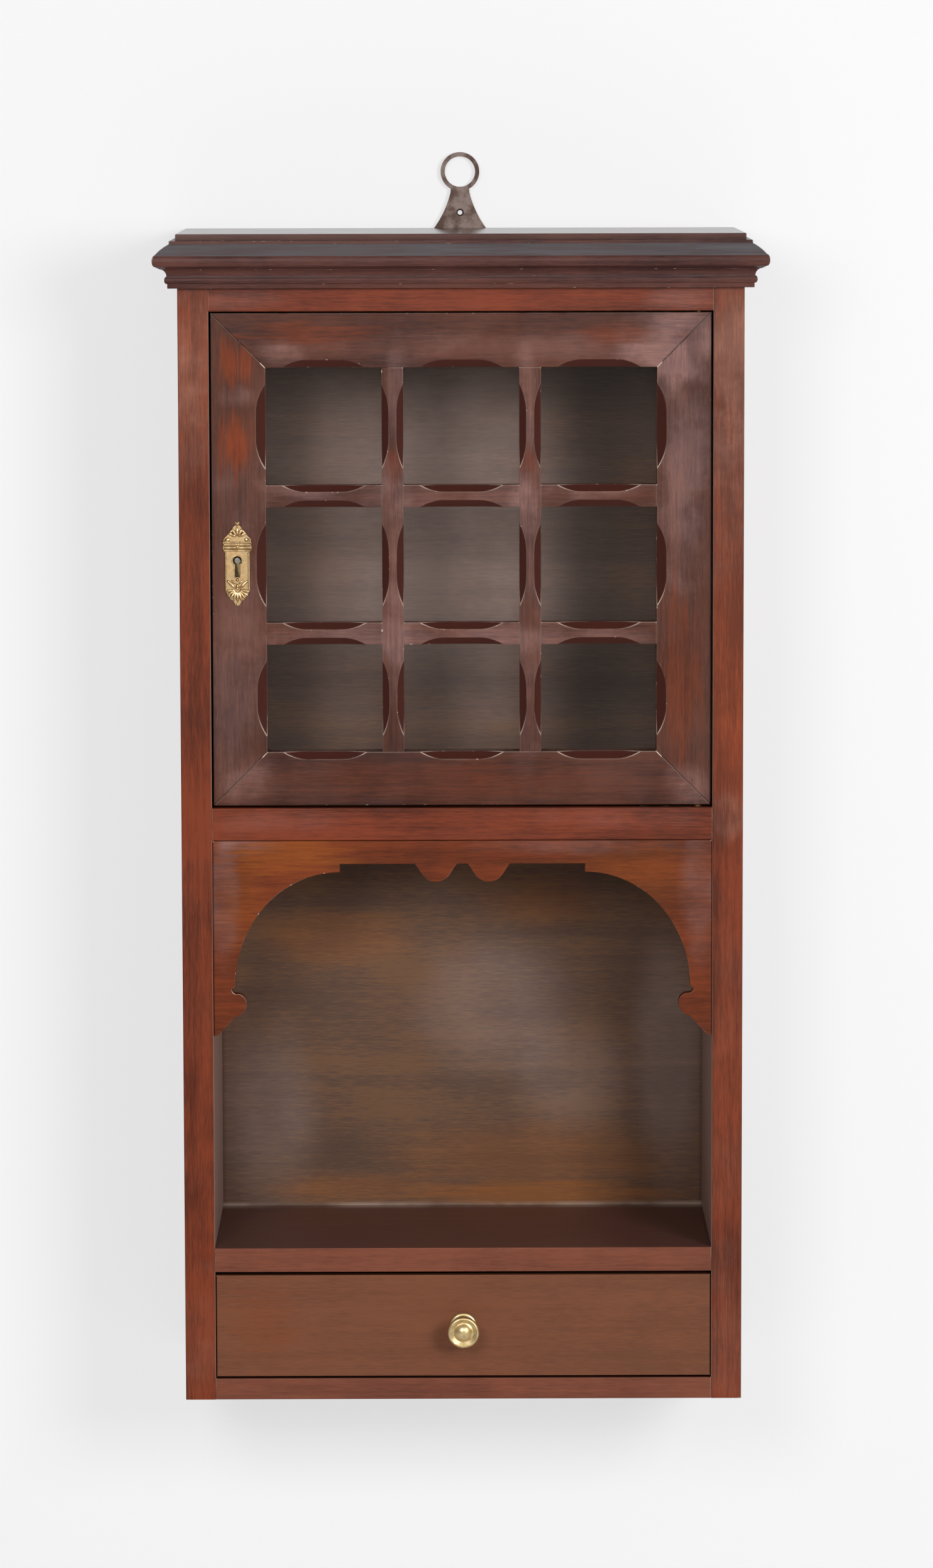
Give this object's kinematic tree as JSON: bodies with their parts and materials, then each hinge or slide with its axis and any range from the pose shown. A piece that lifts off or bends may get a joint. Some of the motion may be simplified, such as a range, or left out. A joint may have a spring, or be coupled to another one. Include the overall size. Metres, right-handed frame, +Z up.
{
  "type": "wall cabinet",
  "caption": "Mahogany wall cabinet with a moulded cornice, a glazed lattice door with a lock, an open niche under a fretted apron, and a drawer; it hangs from an iron eye plate.",
  "frame": {"origin": "centre of the hanger plate's eye, on the wall plane at the cabinet's back", "axes": "+X to the right as seen from the front, +Y into the wall, +Z up; the front faces -Y"},
  "size_m": [0.423, 0.188, 0.8693],
  "materials": {
    "mahogany_case": "old french-polished mahogany, red-brown",
    "mahogany_cornice": "darkened polished mahogany",
    "mahogany_door": "old french-polished mahogany, hazed",
    "mahogany_inside": "dull dark mahogany",
    "drawer_lining": "plain unpolished wood",
    "brass": "worn yellow brass",
    "steel": "dull steel",
    "iron": "dark wrought iron",
    "glass": "clear sheet glass"
  },
  "bodies": {
    "case": {"apron": "mahogany_case", "back_panel": "mahogany_inside", "back_screws": "steel", "bed_mould_front": "mahogany_cornice", "bed_mould_left": "mahogany_cornice", "bed_mould_right": "mahogany_cornice", "bottom_board": "mahogany_case", "cornice_front": "mahogany_cornice", "cornice_left": "mahogany_cornice", "cornice_right": "mahogany_cornice", "door_stop": "mahogany_inside", "drawer_stops": "drawer_lining", "frieze_rail": "mahogany_inside", "hanger_plate": "iron", "hanger_screws": "steel", "mid_board": "mahogany_case", "niche_shelf": "mahogany_case", "pivot_plate_lower": "brass", "pivot_plate_upper": "brass", "pivot_screws_lower": "steel", "pivot_screws_upper": "steel", "roof_board": "mahogany_case", "side_left": "mahogany_case", "side_right": "mahogany_case", "strike_plate": "brass", "strike_screws": "steel", "top_cap": "mahogany_cornice"},
    "door": {"door_pivot_plate_lower": "brass", "door_pivot_plate_upper": "brass", "door_pivot_screws_lower": "steel", "door_pivot_screws_upper": "steel", "door_rail_bottom": "mahogany_door", "door_rail_top": "mahogany_door", "door_stile_left": "mahogany_door", "door_stile_right": "mahogany_door", "escutcheon": "brass", "escutcheon_pins": "brass", "glass_bead_bottom": "mahogany_inside", "glass_bead_left": "mahogany_inside", "glass_bead_right": "mahogany_inside", "glass_bead_top": "mahogany_inside", "glass_pane": "glass", "lattice_rung_lower": "mahogany_door", "lattice_rung_upper": "mahogany_door", "lattice_upright_left": "mahogany_door", "lattice_upright_right": "mahogany_door", "lock_cap": "brass", "lock_case": "brass", "lock_drill_pin": "steel", "lock_screws": "steel", "mitre_keys": "mahogany_inside"},
    "lock_bolt": {"lock_bolt": "brass"},
    "drawer": {"drawer_back": "drawer_lining", "drawer_bottom": "drawer_lining", "drawer_front": "mahogany_case", "drawer_knob": "brass", "drawer_side_left": "drawer_lining", "drawer_side_right": "drawer_lining", "knob_rose": "brass", "knob_screw": "steel"}
  },
  "joints": [
    {"name": "door_hinge", "type": "hinge", "parent": "case", "child": "door", "pos_m": [0.1636, -0.1565, -0.265], "axis": [0, 0, 1], "range_deg": [0, 110]},
    {"name": "drawer_slide", "type": "slide", "parent": "case", "child": "drawer", "axis": [0, -1, 0], "range_m": [0, 0.115]},
    {"name": "bolt_slide", "type": "slide", "parent": "door", "child": "lock_bolt", "axis": [-1, 0, 0], "range_m": [0, 0.006]}
  ]
}
